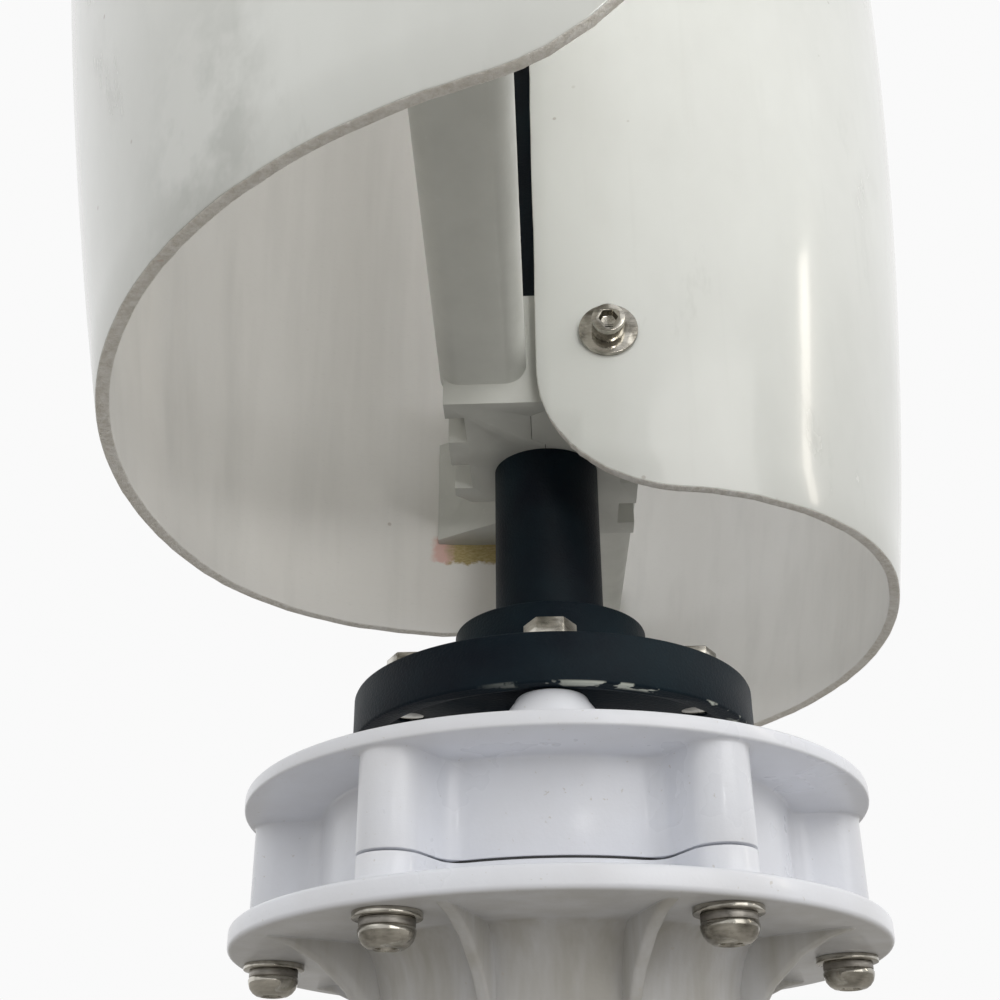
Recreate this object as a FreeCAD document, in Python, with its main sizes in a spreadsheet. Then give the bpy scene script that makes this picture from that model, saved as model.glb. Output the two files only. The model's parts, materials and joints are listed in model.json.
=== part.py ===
import FreeCAD, Part
import math
import os
import re
import Sketcher

# Two-blade vertical axis turbine on its generator. Millimetres, +Z up.
# The origin is the centre of the mast face under the neck; the rotor turns about +Z.
# The second blade and bracket are the first ones turned half a turn about the rotor axis.

SIZES = {
    # neck and mast flange
    "base_radius": 65.0,
    "base_thickness": 8.0,
    "base_bolt_circle": 56.5,
    "base_hole": 4.5,
    "neck_foot_radius": 49.0,
    "neck_waist_radius": 54.0,
    "neck_waist_z": 94.0,
    "neck_bore": 45.0,
    "neck_head_radius": 57.0,
    # generator housing
    "rim_radius": 91.4,
    "rim_z": 106.2,
    "rim_thickness": 6.1,
    "wall_radius": 67.0,
    "wall_thickness": 5.0,
    "seam_z": 119.0,
    "gasket_thickness": 0.6,
    "disc_z": 144.6,
    "disc_thickness": 4.1,
    "disc_radius": 89.7,
    "screw_hole_depth": 23.5,
    "boss_circle": 80.0,
    "boss_radius": 9.5,
    "ledge_radius": 56.0,
    "floor_z": 110.0,
    "ceiling_z": 142.0,
    "nose_foot_radius": 24.0,
    "nose_top_radius": 14.0,
    "nose_z": 164.0,
    "lug_y": -47.0,
    "lug_foot": 21.0,
    "lug_waist": 13.6,
    "lug_neck": 10.0,
    "lug_top": 9.0,
    "lug_waist_drop": 5.5,
    "lug_neck_drop": 2.6,
    "lug_gap": 0.3,
    # bearings, shaft and seal
    "shaft_radius": 8.5,
    "shaft_end_z": 93.5,
    "thread_step": 1.5,
    "thread_past": 2.8,
    "shaft_nut_radius": 12.5,
    "shaft_nut_height": 8.0,
    "bearing_radius": 20.0,
    "bearing_width": 12.0,
    "lower_bearing_z": 98.0,
    "upper_bearing_z": 134.0,
    "race_inner": 11.4,
    "race_outer": 17.4,
    "ball_radius": 2.95,
    "cage_half": 4.2,
    "key_width": 5.0,
    "key_height": 4.0,
    "key_length": 11.0,
    "seal_radius": 12.0,
    "seal_z": 151.0,
    "seal_width": 7.0,
    "bore_gap": 0.05,
    "run_gap": 0.5,
    # stator and rotor of the generator
    "core_z": 117.0,
    "core_height": 16.0,
    "core_yoke": 7.0,
    "tooth_width": 6.0,
    "gap_radius": 44.0,
    "coil_wall": 3.2,
    "air_gap": 0.8,
    "magnet_thickness": 4.0,
    "rotor_rim": 5.0,
    # black flange, output flange and tube
    "flange_radius": 60.0,
    "flange_z": 166.4,
    "flange_height": 14.6,
    "flange_plate": 5.0,
    "flange_wall": 6.0,
    "flange_bolt_circle": 47.0,
    "collar_radius": 29.6,
    "collar_top_z": 203.3,
    "collar_floor_z": 190.0,
    "collar_bore": 14.0,
    "output_thickness": 6.0,
    "tube_radius": 17.0,
    "tube_wall": 2.5,
    "tube_drop": 12.0,
    "cap_depth": 20.0,
    "cap_thickness": 4.0,
    "cap_lip": 1.0,
    # blades
    "blade_z": 227.0,
    "blade_height": 760.0,
    "blade_thickness": 3.6,
    "blade_edge_x": -2.0,
    "blade_edge_y": -51.0,
    "blade_heading": -14.0,
    "blade_turn": 87.0,
    "blade_end_inner": 95.6,
    "blade_mid_inner": 125.0,
    "blade_end_outer": 160.0,
    "blade_mid_outer": 172.0,
    "blade_tail_x": -30.0,
    "blade_corner": 42.0,
    # brackets
    "hub_z": 262.4,
    "hub_height": 40.0,
    "hub_half_width": 31.0,
    "hub_half_length": 45.0,
    "tooth_depth": 6.0,
    "key_depth": 4.3,
    "key_end": 2.8,
    "key_ramp_out": 2.6,
    "key_ramp_in": 3.2,
    "key_wall": 2.5,
    "key_fit": 0.2,
    "seam_gap": 0.1,
    "wing_reach": 40.0,
    "wing_end": 65.0,
    "wing_top": 47.0,
    "tongue_width": 17.0,
    "nut_seat_in": 9.7,
    "nut_seat_out": 6.0,
    "head_seat_in": 5.8,
    "head_seat_out": 8.8,
    "hub_chamfer": 5.0,
    "hub_chamfer_rise": 4.8,
    "slot_half": 7.75,
    "slot_shift": 0.35,
    "arm_left": 5.4,
    "arm_width": 26.9,
    "arm_thickness": 13.0,
    "arm_rise": 6.4,
    "arm_slope": 0.12,
    "pad_thickness": 8.0,
    "pad_height": 48.0,
    "pad_z": 295.0,
    "fit_gap": 0.1,
    # fasteners
    "big_screw": 4.0,
    "big_head_radius": 7.0,
    "big_head_height": 5.0,
    "big_washer": 8.5,
    "big_hex": 7.5,
    "big_hex_height": 5.3,
    "blade_screw": 3.0,
    "blade_head_radius": 5.0,
    "blade_head_height": 6.0,
    "blade_washer": 9.0,
    "blade_nut": 5.77,
    "blade_nut_height": 5.0,
    "margin_screw_x": 20.0,
    "margin_screw_z": 280.0,
    "margin_grip": 14.6,
    "pad_screw_pitch": 16.0,
    "clamp_screw": 2.5,
    "clamp_hex": 4.62,
    "clamp_hex_height": 3.5,
    "clamp_y": 28.0,
    "clamp_pitch": 18.0,
    "hole_gap": 0.25,
    "washer_thickness": 1.6,
    "spring_thickness": 2.0,
}

BOSSES = 6
BASE_HOLES = 4
FLANGE_BOLTS = 6
STATOR_TEETH = 18
MAGNETS = 16
ROTOR_KEY = ("shaft_radius - 2", "core_z + 1", "key_length")
OUTPUT_KEY = ("shaft_radius - 3", "nose_z + 3.6", "key_length - 4")
BALLS = 8
BLADE_LEVELS = 5
WASTE = 70.0
CORNER_WASTE = 25.0
PAST_EDGE = 5.0

V = FreeCAD.Vector
Z_AXIS = V(0, 0, 1)

doc = FreeCAD.newDocument("vertical_axis_turbine")
dims = doc.addObject("Spreadsheet::Sheet", "dims")
for row, (alias, size) in enumerate(SIZES.items(), start=1):
    dims.set("A%d" % row, alias.replace("_", " "))
    dims.set("B%d" % row, str(size))
    dims.setAlias("B%d" % row, alias)
doc.recompute()

nodes = []


def num(text):
    """Value of a sum of products of sheet names and numbers, such as 'rim_z - 2*bore_gap'."""
    total = 0.0
    for sign, term in re.findall(r"([+-]?)\s*([^+-]+)", text):
        value = -1.0 if sign == "-" else 1.0
        for factor in term.split("*"):
            word = factor.strip()
            value *= float(getattr(dims, word)) if word in SIZES else float(word)
        total += value
    return total


def bind(thing, prop, text):
    """Tie a property to the sheet, with the same kind of text that num() reads."""
    thing.setExpression(prop, re.sub(r"[A-Za-z_]\w*", r"dims.\g<0>", text))


def node(thing, label):
    thing.Label = label
    nodes.append(thing)
    return thing


# ---- sketches and features inside a body ----


def new_body(name):
    return doc.addObject("PartDesign::Body", name)


def new_sketch(body, name, role, offset="0"):
    sketch = body.newObject("Sketcher::SketchObject", name)
    plane = next(item for item in body.Origin.OriginFeatures if item.Role == role)
    sketch.AttachmentSupport = (plane, [""])
    sketch.MapMode = "FlatFace"
    bind(sketch, "AttachmentOffset.Base.z", offset)
    return sketch


def polygon(sketch, corners):
    """Closed outline whose every corner is held at two sheet values."""
    first = sketch.GeometryCount
    points = [V(num(across), num(along), 0) for across, along in corners]
    count = len(points)
    for index in range(count):
        line = Part.LineSegment(points[index], points[(index + 1) % count])
        sketch.addGeometry(line, False)
    for index in range(count):
        here = first + index
        after = first + (index + 1) % count
        sketch.addConstraint(Sketcher.Constraint("Coincident", here, 2, after, 1))
    for index, (across, along) in enumerate(corners):
        here = first + index
        for kind, text in (("DistanceX", across), ("DistanceY", along)):
            rule = Sketcher.Constraint(kind, -1, 1, here, 1, num(text))
            place = sketch.addConstraint(rule)
            bind(sketch, "Constraints[%d]" % place, text)
    return sketch


def circle(sketch, across, along, radius):
    centre = V(num(across), num(along), 0)
    ring = sketch.addGeometry(Part.Circle(centre, Z_AXIS, num(radius)), False)
    for kind, text in (("DistanceX", across), ("DistanceY", along)):
        place = sketch.addConstraint(Sketcher.Constraint(kind, -1, 1, ring, 3, num(text)))
        bind(sketch, "Constraints[%d]" % place, text)
    place = sketch.addConstraint(Sketcher.Constraint("Radius", ring, num(radius)))
    bind(sketch, "Constraints[%d]" % place, radius)
    return sketch


def turned(name, corners):
    """Body turned about Z from an outline of (radius, height) corners."""
    body = new_body(name)
    sketch = polygon(new_sketch(body, name + "_profile", "XZ_Plane"), corners)
    turn = body.newObject("PartDesign::Revolution", name + "_turn")
    turn.Profile = sketch
    turn.ReferenceAxis = (sketch, ["V_Axis"])
    turn.Angle = 360
    return body


def ring(name, inner, outer, low, high):
    return turned(name, [(inner, low), (outer, low), (outer, high), (inner, high)])


def padded(body, name, sketch, length, up=True):
    pad = body.newObject("PartDesign::Pad", name)
    pad.Profile = sketch
    bind(pad, "Length", length)
    pad.Reversed = not up
    return pad


def pocketed(body, name, sketch, length, up=True):
    """Pocket that runs along the sketch's normal when up is true, and against it otherwise."""
    pocket = body.newObject("PartDesign::Pocket", name)
    pocket.Profile = sketch
    bind(pocket, "Length", length)
    pocket.Reversed = up
    return pocket


def repeated(body, name, feature, sketch, count):
    pattern = body.newObject("PartDesign::PolarPattern", name)
    pattern.Originals = [feature]
    pattern.Axis = (sketch, ["N_Axis"])
    pattern.Angle = 360
    pattern.Occurrences = count
    body.Tip = pattern
    return pattern


# ---- primitives and booleans ----


def cylinder(name, radius, height, low=None):
    """Cylinder about Z that stands at the height low, or is aimed later when low is left out."""
    thing = doc.addObject("Part::Cylinder", name)
    bind(thing, "Radius", radius)
    bind(thing, "Height", height)
    if low is not None:
        bind(thing, "Placement.Base.z", low)
    return thing


def prism(name, radius, height):
    thing = doc.addObject("Part::Prism", name)
    thing.Polygon = 6
    bind(thing, "Circumradius", radius)
    bind(thing, "Height", height)
    return thing


def aimed(thing, base, direction):
    """Put a primitive's foot at base with its own axis along direction."""
    thing.Placement = FreeCAD.Placement(base, FreeCAD.Rotation(Z_AXIS, direction))
    return thing


def fused(name, parts):
    thing = doc.addObject("Part::MultiFuse", name)
    thing.Shapes = parts
    return thing


def cut(name, base, tools):
    tool = tools[0] if len(tools) == 1 else fused(name + "_tools", tools)
    thing = doc.addObject("Part::Cut", name)
    thing.Base = base
    thing.Tool = tool
    return thing


def group(name, parts):
    thing = doc.addObject("Part::Compound", name)
    thing.Links = parts
    return thing


def mirrored(name, source):
    """The same piece at the top of the rotor, mirrored in the plane halfway up the blades."""
    thing = doc.addObject("Part::Mirroring", name)
    thing.Source = source
    thing.Normal = Z_AXIS
    bind(thing, "Base.z", "blade_z + 0.5*blade_height")
    return thing


def around(count, start=0.0):
    """Unit vectors at equal steps round Z, with the first at start degrees."""
    turns = [math.radians(start + 360.0 * step / count) for step in range(count)]
    return [V(math.cos(turn), math.sin(turn), 0) for turn in turns]


# ---- generator housing ----


def boss_outline(sketch):
    """A boss and the web that joins it to the drum wall."""
    centre = num("boss_circle")
    radius = num("boss_radius")
    inner = num("wall_radius - 0.5*wall_thickness")
    sketch.addGeometry(Part.LineSegment(V(inner, -radius, 0), V(centre, -radius, 0)), False)
    arc = Part.ArcOfCircle(Part.Circle(V(centre, 0, 0), Z_AXIS, radius), -math.pi / 2, math.pi / 2)
    sketch.addGeometry(arc, False)
    sketch.addGeometry(Part.LineSegment(V(centre, radius, 0), V(inner, radius, 0)), False)
    sketch.addGeometry(Part.LineSegment(V(inner, radius, 0), V(inner, -radius, 0)), False)
    for here, after in ((0, 1), (1, 2), (2, 3), (3, 0)):
        sketch.addConstraint(Sketcher.Constraint("Coincident", here, 2, after, 1))
    return sketch


def add_bosses(body, name, low, height):
    sketch = boss_outline(new_sketch(body, name + "_boss_outline", "XY_Plane", low))
    boss = padded(body, name + "_boss", sketch, height)
    repeated(body, name + "_bosses", boss, sketch, BOSSES)


def add_holes(body, name, circle_radius, radius, low, height, count, on_y=False):
    """Ring of equal holes, the first of them on the X axis, or on the Y axis."""
    sketch = new_sketch(body, name + "_outline", "XY_Plane", low)
    across, along = ("0", circle_radius) if on_y else (circle_radius, "0")
    circle(sketch, across, along, radius)
    hole = pocketed(body, name + "_hole", sketch, height)
    repeated(body, name + "_holes", hole, sketch, count)


def make_lower_housing():
    body = turned("lower_housing", [
        ("neck_bore", "0"),
        ("base_radius", "0"),
        ("base_radius", "base_thickness"),
        ("neck_foot_radius", "base_thickness"),
        ("neck_waist_radius", "neck_waist_z"),
        ("neck_head_radius", "rim_z"),
        ("rim_radius", "rim_z"),
        ("rim_radius", "rim_z + rim_thickness"),
        ("wall_radius", "rim_z + rim_thickness"),
        ("wall_radius", "seam_z"),
        ("wall_radius - wall_thickness", "seam_z"),
        ("wall_radius - wall_thickness", "core_z"),
        ("ledge_radius", "core_z"),
        ("ledge_radius", "floor_z"),
        ("bearing_radius + bore_gap", "floor_z"),
        ("bearing_radius + bore_gap", "lower_bearing_z"),
        ("bearing_radius - 3.5", "lower_bearing_z"),
        ("bearing_radius - 3.5", "lower_bearing_z - 4"),
        ("bearing_radius + 7", "lower_bearing_z - 4"),
        ("bearing_radius + 7", "floor_z - 8"),
        ("neck_bore", "floor_z - 12"),
    ])
    add_bosses(body, "lower", "rim_z + 0.5*rim_thickness", "seam_z - rim_z - 0.5*rim_thickness")
    add_holes(body, "lower_screw", "boss_circle", "big_screw + hole_gap", "rim_z - 1", "30", BOSSES)
    add_holes(body, "mast", "base_bolt_circle", "base_hole", "-1", "base_thickness + 2", BASE_HOLES)
    lead = new_sketch(body, "lead_hole_outline", "XY_Plane", "floor_z - 16")
    circle(lead, "0", "0.5*bearing_radius + 0.5*neck_bore", "4.0")
    pocketed(body, "lead_hole", lead, "20")
    return node(body, "lower_housing")


def make_upper_housing():
    body = turned("upper_shell", [
        ("wall_radius - wall_thickness", "seam_z + gasket_thickness"),
        ("wall_radius", "seam_z + gasket_thickness"),
        ("wall_radius", "disc_z"),
        ("disc_radius", "disc_z"),
        ("disc_radius", "disc_z + disc_thickness"),
        ("nose_foot_radius", "disc_z + disc_thickness"),
        ("nose_top_radius", "nose_z"),
        ("shaft_radius + run_gap", "nose_z"),
        ("shaft_radius + run_gap", "seal_z + seal_width"),
        ("seal_radius + bore_gap", "seal_z + seal_width"),
        ("seal_radius + bore_gap", "upper_bearing_z + bearing_width"),
        ("bearing_radius + bore_gap", "upper_bearing_z + bearing_width"),
        ("bearing_radius + bore_gap", "upper_bearing_z - 3"),
        ("bearing_radius + 6", "upper_bearing_z - 3"),
        ("bearing_radius + 6", "ceiling_z"),
        ("ledge_radius", "ceiling_z"),
        ("ledge_radius", "core_z + core_height + bore_gap"),
        ("wall_radius - wall_thickness", "core_z + core_height + bore_gap"),
    ])
    add_bosses(body, "upper", "seam_z + gasket_thickness", "disc_z - seam_z - gasket_thickness + 1")
    low = "seam_z + gasket_thickness - 1"
    add_holes(body, "upper_screw", "boss_circle", "big_screw + bore_gap", low, "screw_hole_depth", BOSSES)
    return node(fused("housing_and_lug", [body, make_lug()]), "upper_housing")


def make_lug():
    """Flared boss on the top disc, whose flat top stays just under the turning flange."""
    top = "flange_z - lug_gap"
    lug = turned("top_lug", [
        ("0", "disc_z + 0.5*disc_thickness"),
        ("lug_foot", "disc_z + 0.5*disc_thickness"),
        ("lug_foot", "disc_z + disc_thickness"),
        ("lug_waist", top + " - lug_waist_drop"),
        ("lug_neck", top + " - lug_neck_drop"),
        ("lug_top", top),
        ("0", top),
    ])
    bind(lug, "Placement.Base.y", "lug_y")
    return lug


def make_gasket():
    body = ring("housing_gasket", "wall_radius - wall_thickness + 0.4", "wall_radius - 0.4", "seam_z",
                "seam_z + gasket_thickness")
    return node(body, "housing_gasket")


def make_housing_screws():
    screws = []
    flats = []
    springs = []
    stack = "rim_z - washer_thickness - spring_thickness"
    for index, way in enumerate(around(BOSSES)):
        foot = way * num("boss_circle")
        shank = cylinder("housing_shank%d" % index, "big_screw", "37")
        aimed(shank, foot + V(0, 0, num(stack)), Z_AXIS)
        head = cylinder("housing_head%d" % index, "big_head_radius", "big_head_height")
        aimed(head, foot + V(0, 0, num(stack + " - big_head_height")), Z_AXIS)
        dome = doc.addObject("Part::Fillet", "housing_dome%d" % index)
        dome.Base = head
        doc.recompute()
        bottom = min(range(3), key=lambda place: head.Shape.Edges[place].CenterOfMass.z)
        dome.Edges = [(bottom + 1, 3.6, 3.6)]
        screws.append(fused("housing_screw%d" % index, [dome, shank]))
        for store, word, low, high, wide in (
                (flats, "flat", "rim_z - washer_thickness", "washer_thickness", "big_washer"),
                (springs, "spring", stack, "spring_thickness", "big_head_radius - 0.2")):
            plate = cylinder("housing_%s_plate%d" % (word, index), wide, high)
            hole = cylinder("housing_%s_bore%d" % (word, index), "big_screw + hole_gap", high)
            for thing in (plate, hole):
                aimed(thing, foot + V(0, 0, num(low)), Z_AXIS)
            store.append(cut("housing_%s%d" % (word, index), plate, [hole]))
    node(group("screw_set", screws), "housing_screws")
    node(group("flat_set", flats), "housing_flat_washers")
    node(group("spring_set", springs), "housing_spring_washers")


# ---- generator ----


def make_stator():
    outer = "wall_radius - wall_thickness - bore_gap"
    core = ring("core_yoke_ring", outer + " - core_yoke", outer, "core_z", "core_z + core_height")
    teeth = []
    coils = []
    for index, way in enumerate(around(STATOR_TEETH)):
        turn = FreeCAD.Rotation(Z_AXIS, 360.0 * index / STATOR_TEETH)
        tooth = doc.addObject("Part::Box", "tooth%d" % index)
        bind(tooth, "Length", outer + " - 0.5*core_yoke - gap_radius")
        bind(tooth, "Width", "tooth_width")
        bind(tooth, "Height", "core_height")
        start = V(num("gap_radius"), num("-0.5*tooth_width"), num("core_z"))
        tooth.Placement = FreeCAD.Placement(turn.multVec(start), turn)
        teeth.append(tooth)
        coil = doc.addObject("Part::Box", "coil_block%d" % index)
        bind(coil, "Length", outer + " - core_yoke - gap_radius - 3.4")
        bind(coil, "Width", "tooth_width + 2*coil_wall - 0.6")
        bind(coil, "Height", "core_height + 2*coil_wall")
        start = V(num("gap_radius + 3"), num("0.3 - coil_wall - 0.5*tooth_width"), num("core_z - coil_wall"))
        coil.Placement = FreeCAD.Placement(turn.multVec(start), turn)
        slot = doc.addObject("Part::Box", "coil_slot%d" % index)
        bind(slot, "Length", outer + " - core_yoke - gap_radius")
        bind(slot, "Width", "tooth_width + 2*bore_gap")
        bind(slot, "Height", "core_height + 2*bore_gap")
        start = V(num("gap_radius + 1"), num("-0.5*tooth_width - bore_gap"), num("core_z - bore_gap"))
        slot.Placement = FreeCAD.Placement(turn.multVec(start), turn)
        coils.append(cut("coil%d" % index, coil, [slot]))
    bore = cylinder("core_bore", "gap_radius", "core_height + 2", "core_z - 1")
    node(cut("core_cut", fused("core_fused", [core] + teeth), [bore]), "stator_core")
    node(group("coil_set", coils), "stator_coils")


def make_rotor():
    magnet_face = "gap_radius - air_gap"
    rim = magnet_face + " - magnet_thickness"
    hub = "bearing_radius - 6"
    low = "lower_bearing_z + bearing_width"
    body = turned("spider_blank", [
        ("shaft_radius + bore_gap", low),
        ("race_inner", low),
        ("race_inner", "core_z"),
        (hub, "core_z"),
        (hub, "core_z + 5"),
        (rim + " - rotor_rim", "core_z + 5"),
        (rim + " - rotor_rim", "core_z"),
        (rim, "core_z"),
        (rim, "core_z + core_height"),
        (rim + " - rotor_rim", "core_z + core_height"),
        (rim + " - rotor_rim", "core_z + 11"),
        (hub, "core_z + 11"),
        (hub, "core_z + 12"),
        ("race_inner", "core_z + 12"),
        ("race_inner", "upper_bearing_z"),
        ("shaft_radius + bore_gap", "upper_bearing_z"),
    ])
    slot = key_block("spider_slot", ROTOR_KEY, "bore_gap")
    node(cut("rotor_spider_cut", body, [slot]), "rotor_spider")
    magnets = []
    for index in range(MAGNETS):
        step = 360.0 / MAGNETS
        thing = doc.addObject("Part::Cylinder", "magnet_outer%d" % index)
        bind(thing, "Radius", magnet_face)
        bind(thing, "Height", "core_height")
        thing.Angle = step - 4.0
        core = cylinder("magnet_inner%d" % index, rim + " + bore_gap", "core_height + 2")
        turn = FreeCAD.Rotation(Z_AXIS, step * index)
        thing.Placement = FreeCAD.Placement(V(0, 0, num("core_z")), turn)
        core.Placement = FreeCAD.Placement(V(0, 0, num("core_z - 1")), turn)
        magnets.append(cut("magnet%d" % index, thing, [core]))
    node(group("magnet_set", magnets), "rotor_magnets")


def make_bearing(word, low):
    top = low + " + bearing_width"
    node(ring(word + "_outer", "race_outer", "bearing_radius", low, top), word + "_bearing_outer_ring")
    inner = ring(word + "_inner", "shaft_radius + bore_gap", "race_inner", low, top)
    node(inner, word + "_bearing_inner_ring")
    middle = num(low + " + 0.5*bearing_width")
    pitch = num("0.5*race_inner + 0.5*race_outer")
    balls = []
    pockets = []
    for index, way in enumerate(around(BALLS)):
        ball = doc.addObject("Part::Sphere", "%s_ball%d" % (word, index))
        bind(ball, "Radius", "ball_radius")
        ball.Placement = FreeCAD.Placement(way * pitch + V(0, 0, middle), FreeCAD.Rotation())
        balls.append(ball)
        pocket = cylinder("%s_pocket%d" % (word, index), "ball_radius + bore_gap", "race_outer")
        pockets.append(aimed(pocket, V(0, 0, middle), way))
    node(group(word + "_ball_set", balls), word + "_bearing_balls")
    cage = ring(word + "_cage_ring", "race_inner + 1.4", "race_outer - 1.4",
                low + " + 0.5*bearing_width - cage_half", low + " + 0.5*bearing_width + cage_half")
    node(cut(word + "_cage", cage, pockets), word + "_bearing_cage")


def key_block(name, seat, gap="0"):
    """Key, or the slot for it with a gap; seat is (radius of its foot, lower end, length)."""
    box = doc.addObject("Part::Box", name)
    foot, low, length = seat
    bind(box, "Length", "key_height + " + gap)
    bind(box, "Width", "key_width + 2*" + gap)
    bind(box, "Height", length + " + 2*" + gap)
    bind(box, "Placement.Base.x", foot)
    bind(box, "Placement.Base.y", "0 - 0.5*key_width - " + gap)
    bind(box, "Placement.Base.z", low + " - " + gap)
    return box


def make_shaft():
    shoulder = "flange_z + flange_height - flange_plate"
    shaft_top = shoulder + " + washer_thickness + shaft_nut_height + thread_past"
    body = turned("shaft_blank", [
        ("0", "shaft_end_z"),
        ("shaft_radius", "shaft_end_z"),
        ("shaft_radius", "lower_bearing_z - 2.2"),
        ("shaft_radius - 1", "lower_bearing_z - 2.2"),
        ("shaft_radius - 1", "lower_bearing_z - 0.9"),
        ("shaft_radius", "lower_bearing_z - 0.9"),
        ("shaft_radius", "nose_z + 0.6"),
        ("shaft_radius - 1", "nose_z + 0.6"),
        ("shaft_radius - 1", shoulder),
        ("shaft_radius - thread_step", shoulder),
        ("shaft_radius - thread_step", shaft_top),
        ("0", shaft_top),
    ])
    slots = []
    for label, seat in (("rotor_key", ROTOR_KEY), ("output_key", OUTPUT_KEY)):
        slots.append(key_block(label + "_slot", seat))
        node(key_block(label + "_block", seat), label)
    node(cut("shaft_cut", body, slots), "generator_shaft")
    circlip = ring("shaft_circlip_ring", "shaft_radius - 1 + bore_gap", "shaft_radius + 3",
                   "lower_bearing_z - 2.1", "lower_bearing_z - 0.95")
    gap = doc.addObject("Part::Box", "circlip_gap")
    gap.Length = 20
    gap.Width = 6
    gap.Height = 4
    bind(gap, "Placement.Base.z", "lower_bearing_z - 3")
    gap.Placement.Base.y = -3
    node(cut("circlip_cut", circlip, [gap]), "shaft_circlip")
    seal = turned("seal", [
        ("shaft_radius + 0.05", "seal_z + 3"),
        ("shaft_radius + 1", "seal_z"),
        ("seal_radius", "seal_z"),
        ("seal_radius", "seal_z + seal_width"),
        ("shaft_radius + 0.7", "seal_z + seal_width"),
    ])
    node(seal, "shaft_seal")


def make_grommet():
    reach = "0.5*bearing_radius + 0.5*neck_bore"
    low = "floor_z - 13"
    body = cylinder("grommet_body", "3.95", "16", low)
    lip = cylinder("grommet_lip", "6", "2", "floor_z")
    bore = cylinder("grommet_bore", "2.2", "20", "floor_z - 14")
    for thing in (body, lip, bore):
        bind(thing, "Placement.Base.y", reach)
    node(cut("grommet", fused("grommet_fused", [body, lip]), [bore]), "cable_grommet")


# ---- output flange, black flange and tube ----


def make_output():
    under = "flange_z + flange_height - flange_plate"
    body = turned("output_disc", [
        ("shaft_radius - 1 + bore_gap", "nose_z + 0.6"),
        ("nose_top_radius", "nose_z + 0.6"),
        ("nose_top_radius", under + " - output_thickness"),
        ("flange_radius - flange_wall - 0.3", under + " - output_thickness"),
        ("flange_radius - flange_wall - 0.3", under),
        ("shaft_radius - 1 + bore_gap", under),
    ])
    add_holes(body, "output_thread", "flange_bolt_circle", "big_screw + bore_gap",
              under + " - output_thickness - 1", "output_thickness + 2", FLANGE_BOLTS, on_y=True)
    slot = key_block("output_flange_slot", OUTPUT_KEY, "bore_gap")
    node(cut("output_flange_cut", body, [slot]), "output_flange")
    node(ring("nut_washer", "shaft_radius - thread_step + bore_gap", "shaft_nut_radius - 0.5", under,
              under + " + washer_thickness"),
         "shaft_nut_washer")
    nut = prism("nut_block", "shaft_nut_radius", "shaft_nut_height")
    bind(nut, "Placement.Base.z", under + " + washer_thickness")
    hole = cylinder("nut_bore", "shaft_radius - thread_step + bore_gap", "shaft_nut_height + 2", under)
    node(cut("nut_cut", nut, [hole]), "shaft_nut")


def make_tube():
    plate = "flange_z + flange_height - flange_plate"
    top = "blade_z + blade_height - tube_drop"
    body = turned("tube_flange", [
        ("flange_radius - flange_wall", "flange_z"),
        ("flange_radius", "flange_z"),
        ("flange_radius", "flange_z + flange_height"),
        ("collar_radius", "flange_z + flange_height"),
        ("collar_radius", "collar_top_z"),
        ("tube_radius + bore_gap", "collar_top_z"),
        ("tube_radius + bore_gap", "collar_floor_z"),
        ("collar_bore", "collar_floor_z"),
        ("collar_bore", plate),
        ("flange_radius - flange_wall", plate),
    ])
    add_holes(body, "flange_bolt", "flange_bolt_circle", "big_screw + hole_gap", plate + " - 1",
              "flange_plate + 2", FLANGE_BOLTS, on_y=True)
    node(body, "tube_flange")
    node(ring("rotor_tube_ring", "tube_radius - tube_wall", "tube_radius", "collar_floor_z", top),
         "rotor_tube")
    cap = turned("tube_cap", [
        ("0", top + " - cap_depth"),
        ("tube_radius - tube_wall - bore_gap", top + " - cap_depth"),
        ("tube_radius - tube_wall - bore_gap", top),
        ("tube_radius + cap_lip", top),
        ("tube_radius - cap_lip", top + " + cap_thickness"),
        ("0", top + " + cap_thickness"),
    ])
    node(cap, "tube_cap")
    bolts = []
    washers = []
    for index, way in enumerate(around(FLANGE_BOLTS, 30.0)):
        foot = way * num("flange_bolt_circle") + V(0, 0, num("flange_z + flange_height"))
        head = prism("flange_head%d" % index, "big_hex", "big_hex_height")
        aimed(head, foot + V(0, 0, num("washer_thickness")), Z_AXIS)
        shank = cylinder("flange_shank%d" % index, "big_screw", "flange_plate + output_thickness + 2")
        aimed(shank, foot + V(0, 0, num("0.4 - flange_plate - output_thickness")), Z_AXIS)
        bolts.append(fused("flange_bolt%d" % index, [head, shank]))
        plate = cylinder("flange_washer_plate%d" % index, "big_washer", "washer_thickness")
        hole = cylinder("flange_washer_bore%d" % index, "big_screw + hole_gap", "washer_thickness")
        for thing in (plate, hole):
            aimed(thing, foot, Z_AXIS)
        washers.append(cut("flange_washer%d" % index, plate, [hole]))
    node(group("flange_bolt_set", bolts), "flange_bolts")
    node(group("flange_washer_set", washers), "flange_washers")


# ---- blades ----


def blade_arcs(level):
    """The two tangent arcs of the blade's mid surface at a height given as a share of the blade's own.

    The radii grow as a parabola from both ends to the middle. Each arc is (centre, radius, first, last),
    with angles measured from -Y towards +X.
    """
    swell = 1.0 - (1.0 - 2.0 * level) ** 2
    inner = num("blade_end_inner") + swell * num("blade_mid_inner - blade_end_inner")
    outer = num("blade_end_outer") + swell * num("blade_mid_outer - blade_end_outer")
    first = math.radians(num("blade_heading"))
    bend = first + math.radians(num("blade_turn"))
    ends = V(num("blade_edge_x"), num("blade_edge_y"), 0)
    centre = ends + V(-math.sin(first), math.cos(first), 0) * inner
    second = centre + V(math.sin(bend), -math.cos(bend), 0) * (inner - outer)
    last = math.pi - math.asin((num("blade_tail_x") - second.x) / outer)
    return (centre, inner, first, bend), (second, outer, bend, last)


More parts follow.
